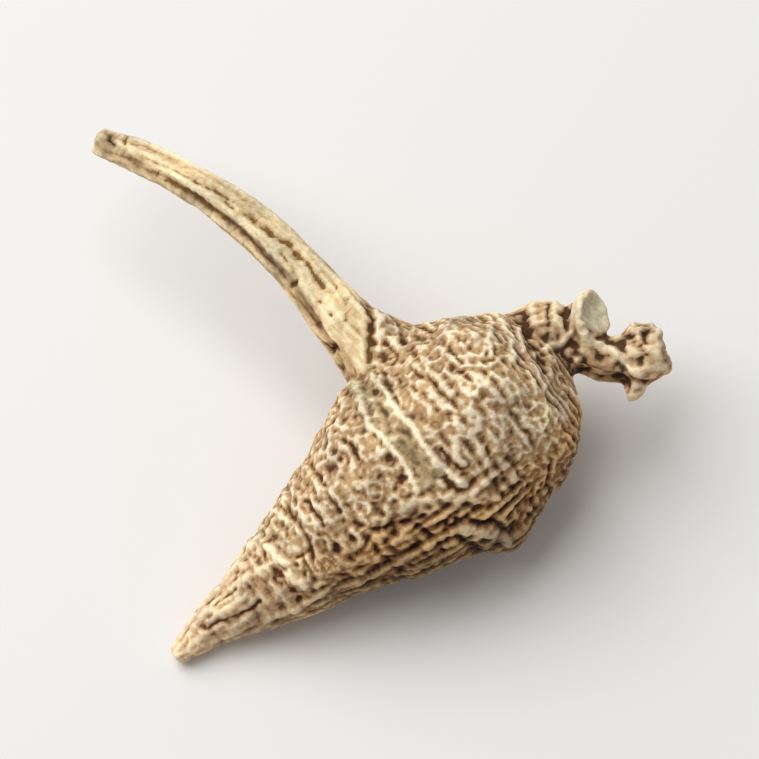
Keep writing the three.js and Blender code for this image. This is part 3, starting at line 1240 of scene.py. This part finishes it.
# The under-side tone is painted shade on steep sides and low on the flank, in a redder brown that is
# partly the skin's own
UNDER_SHADE_TONE = Tone((34, 16, 6), (158, 108, 58), (238, 198, 138))
PALE_COLOUR: Colour = (246, 232, 196)
SCAR_COLOUR: Colour = (232, 224, 194)
# Painted shade: near black, for holes, pits and deep grooves and low on the flank
SHADE_BLACK_COLOUR: Colour = (30, 18, 10)


class NodeTreeMaker:
    """Adds and joins shader nodes."""

    # Where a colour mix keeps its two colours and its result
    MIX_FIRST, MIX_SECOND, MIX_RESULT = 6, 7, 2

    def __init__(self, tree: bpy.types.NodeTree) -> None:
        """Work on one tree."""
        self.tree = tree

    def add(self, kind: str, inputs: Inputs, **values: object) -> bpy.types.Node:
        """Add a node.

        Args:
            kind: The node's type.
            inputs: A socket or a plain value for each input.
            values: What to set on the node itself.

        Returns:
            The node.
        """
        node = self.tree.nodes.new(kind)
        for name, value in values.items():
            setattr(node, name, value)
        self.feed(node, inputs)
        return node

    def feed(self, node: bpy.types.Node, inputs: Inputs) -> None:
        """Feed a node's inputs.

        Args:
            node: The node.
            inputs: A socket or a plain value for each input.
        """
        for label, value in inputs.items():
            if isinstance(value, Socket):
                self.tree.links.new(value, node.inputs[label])
            else:
                node.inputs[label].default_value = value

    def layer(self, name: str) -> bpy.types.Node:
        """Read a layer of the mesh."""
        return self.add("ShaderNodeAttribute", {}, attribute_name=name)

    def mask(self, zone: Zone) -> Socket:
        """Read a mask of the skin."""
        return self.layer(zone.value).outputs["Fac"]

    def math(self, operation: str, first: object, second: object) -> Socket:
        """Work out one number from two, each a socket or a plain number."""
        return self.add("ShaderNodeMath", {0: first, 1: second}, operation=operation).outputs[0]

    def mix(self, share: object, first: object, second: object) -> Socket:
        """Mix a share of the second colour into the first."""
        inputs = {"Factor": share, self.MIX_FIRST: first, self.MIX_SECOND: second}
        return self.add("ShaderNodeMix", inputs, data_type="RGBA").outputs[self.MIX_RESULT]

    def step(self, value: Socket, low: float, high: float) -> Socket:
        """Rise smoothly from 0 at low to 1 at high."""
        inputs = {"Value": value, "From Min": low, "From Max": high}
        return self.add("ShaderNodeMapRange", inputs, interpolation_type="SMOOTHSTEP").outputs["Result"]


class GroupMaker(NodeTreeMaker):
    """Builds one node group, from what it is given to what it gives back."""

    def __init__(self, name: str, inputs: dict[str, str], outputs: dict[str, str]) -> None:
        """Start the group.

        Args:
            name: The group's name.
            inputs: The kind of each input.
            outputs: The kind of each output.
        """
        super().__init__(bpy.data.node_groups.new(name, "ShaderNodeTree"))
        for side, sockets in (("INPUT", inputs), ("OUTPUT", outputs)):
            for label, kind in sockets.items():
                self.tree.interface.new_socket(name=label, in_out=side, socket_type="NodeSocket" + kind)
        self.given = self.tree.nodes.new("NodeGroupInput").outputs

    def finish(self, results: Inputs) -> bpy.types.NodeTree:
        """Feed the group's outputs and give the group."""
        self.feed(self.tree.nodes.new("NodeGroupOutput"), results)
        return self.tree


class SkinGroups:
    """The node groups that the root's finish uses, each built once."""

    GROOVE_SPAN, RIDGE_SPAN = (0.02, 0.5), (0.5, 1.0)
    SPECKS = {"Scale": 2.6, "Detail": 5.0, "Roughness": 0.7}
    STAINS = {"Scale": 0.3, "Detail": 3.0}
    SPECK_SWING, STAIN_SWING = 2.0, 2.2
    NOISE_MEAN = 0.5

    def __init__(self) -> None:
        """Build the groups."""
        self.tone = self._tone_group()
        self.dust = self._dust_group()

    def _tone_group(self) -> bpy.types.NodeTree:
        """Colour a skin by its relief: dark grooves, plain flats and pale ridges.

        Returns:
            The group.
        """
        colours = dict.fromkeys(("Groove", "Flat", "Ridge"), "Color")
        maker = GroupMaker("relief_tone", {"Relief": "Float", **colours}, {"Color": "Color"})
        given = maker.given
        low = maker.step(given["Relief"], *self.GROOVE_SPAN)
        high = maker.step(given["Relief"], *self.RIDGE_SPAN)
        body = maker.mix(low, given["Groove"], given["Flat"])
        return maker.finish({"Color": maker.mix(high, body, given["Ridge"])})

    def _dust_group(self) -> bpy.types.NodeTree:
        """Break a colour up with fine specks and wide stains.

        Returns:
            The group.
        """
        maker = GroupMaker("skin_dust", {"Color": "Color", "Place": "Vector", "Amount": "Float"},
                           {"Color": "Color", "Grain": "Float"})
        place, swings, grains = {"Vector": maker.given["Place"]}, [], []
        for look, swing in ((self.SPECKS, self.SPECK_SWING), (self.STAINS, self.STAIN_SWING)):
            grains.append(maker.add("ShaderNodeTexNoise", place | look).outputs["Fac"])
            centred = maker.math("SUBTRACT", grains[-1], self.NOISE_MEAN)
            swings.append(maker.math("MULTIPLY", centred, swing))
        both = maker.math("MULTIPLY", maker.math("ADD", *swings), maker.given["Amount"])
        shade = {"Value": maker.math("ADD", both, 1.0), "Color": maker.given["Color"]}
        toned = maker.add("ShaderNodeHueSaturation", shade)
        return maker.finish({"Color": toned.outputs["Color"], "Grain": grains[0]})


@dataclass(frozen=True)
class SkinFinish:
    """The dry matte skin of the root, its colour led by its relief and its masks, some of which hold
    painted shade and painted highlight.
    """

    groups: SkinGroups
    tones: tuple[tuple[Zone, Tone], ...] = (
        (Zone.TAIL, TAIL_TONE), (Zone.BAND, BAND_TONE), (Zone.SIDE, SIDE_TONE),
        (Zone.NECK, NECK_TONE), (Zone.UNDER_SHADE, UNDER_SHADE_TONE),
    )
    covers: tuple[tuple[Zone, Colour, float], ...] = (
        (Zone.SCAR, SCAR_COLOUR, 0.85), (Zone.PALE, PALE_COLOUR, 0.6), (Zone.SHADE_BLACK, SHADE_BLACK_COLOUR, 1.0),
    )
    dust: float = 0.6
    bump: float = 0.8
    bump_depth: float = 0.12 * MM
    roughness: float = 0.82
    gloss: float = 0.25

    def _toned(self, maker: NodeTreeMaker, relief: Socket, tone: Tone) -> Socket:
        """Colour the relief with one set of tones.

        Args:
            maker: Adds the nodes.
            relief: The relief mask.
            tone: The colours.

        Returns:
            The colour.
        """
        colours = {"Groove": tone.groove, "Flat": tone.flat, "Ridge": tone.ridge}
        inputs = {label: linear(colour) for label, colour in colours.items()}
        node = maker.add("ShaderNodeGroup", {"Relief": relief, **inputs}, node_tree=self.groups.tone)
        return node.outputs["Color"]

    def material(self) -> bpy.types.Material:
        """Build the material.

        Returns:
            The material, ready for the skin.
        """
        material = bpy.data.materials.new("dried_skin")
        material.use_nodes = True
        maker = NodeTreeMaker(material.node_tree)
        relief = maker.mask(Zone.RELIEF)
        colour = self._toned(maker, relief, BARK_TONE)
        for zone, tone in self.tones:
            colour = maker.mix(maker.mask(zone), colour, self._toned(maker, relief, tone))
        for zone, plain, strength in self.covers:
            share = maker.math("MULTIPLY", maker.mask(zone), strength)
            colour = maker.mix(share, colour, linear(plain))
        inputs = {"Amount": self.dust, "Color": colour, "Place": maker.layer("grain").outputs["Vector"]}
        dust = maker.add("ShaderNodeGroup", inputs, node_tree=self.groups.dust)
        inputs = {"Strength": self.bump, "Distance": self.bump_depth, "Height": dust.outputs["Grain"]}
        bump = maker.add("ShaderNodeBump", inputs)
        maker.feed(material.node_tree.nodes["Principled BSDF"], {
            "Base Color": dust.outputs["Color"], "Normal": bump.outputs["Normal"],
            "Roughness": self.roughness, "Specular IOR Level": self.gloss})
        return material


@dataclass(frozen=True)
class Lamp:
    """A square soft light that hangs over the table and points at the root."""

    name: str
    place: Point
    size: float
    power: float

    def hang(self) -> None:
        """Add the light to the scene."""
        lamp = bpy.data.lights.new(self.name, "AREA")
        lamp.size = self.size
        lamp.energy = self.power
        aim(put(self.name, lamp), Vector(self.place), Vector(self.place))


@dataclass(frozen=True)
class Studio:
    """The pale table, the soft light and the camera that looks down on the root."""

    distance: float = 0.34
    lens: float = 200.0
    sensor: float = 36.0
    table_size: float = 3.0
    table_colour: Colour = (234, 233, 231)
    table_roughness: float = 0.7
    table_gloss: float = 0.2
    sky_colour: tuple[float, ...] = (1.0, 0.99, 0.975, 1.0)
    sky: float = 0.32
    key: Lamp = Lamp("key_light", (-0.26, 0.16, 0.5), 0.6, 3.9)

    def build(self) -> None:
        """Build the table, the light and the camera."""
        self._table()
        self.key.hang()
        world = bpy.data.worlds.new("room")
        world.use_nodes = True
        backdrop = {"Color": self.sky_colour, "Strength": self.sky}
        NodeTreeMaker(world.node_tree).feed(world.node_tree.nodes["Background"], backdrop)
        bpy.context.scene.world = world
        self._camera()

    def _table(self) -> None:
        """Lay the table top."""
        half = self.table_size / 2
        mesh = bpy.data.meshes.new("table_top")
        corners = [(-half, -half, 0.0), (half, -half, 0.0), (half, half, 0.0), (-half, half, 0.0)]
        mesh.from_pydata(corners, [], [(0, 1, 2, 3)])
        table = put("table_top", mesh)
        material = bpy.data.materials.new("table_paper")
        material.use_nodes = True
        NodeTreeMaker(material.node_tree).feed(material.node_tree.nodes["Principled BSDF"], {
            "Base Color": linear(self.table_colour), "Roughness": self.table_roughness,
            "Specular IOR Level": self.table_gloss})
        mesh.materials.append(material)

    def _camera(self) -> None:
        """Aim the camera at the middle of the root."""
        low, high = (Vector(corner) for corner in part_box(NODE))
        back = Vector(TO_VIEWER)
        camera = bpy.data.cameras.new("camera")
        camera.lens = self.lens
        camera.sensor_width = self.sensor
        holder = put("camera", camera)
        aim(holder, (low + high) / 2 + back * self.distance, back)
        bpy.context.scene.camera = holder


def main() -> None:
    """Build the studio and the root, and report each piece."""
    logging.basicConfig(level=logging.INFO, format="%(name)s: %(message)s")
    bpy.context.scene.view_settings.view_transform = "Standard"
    Studio().build()
    skin = Skin(GinsengRoot())
    skin.wrinkle()
    low, high = (np.array(corner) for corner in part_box(NODE))
    piece = skin.placed_on(low, high)
    piece.data.materials.append(SkinFinish(SkinGroups()).material())
    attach(piece, BODY)
    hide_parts(NODE)
    LOG.info("%s: %d faces", piece.name, len(piece.data.polygons))


if __name__ == "__main__":
    main()
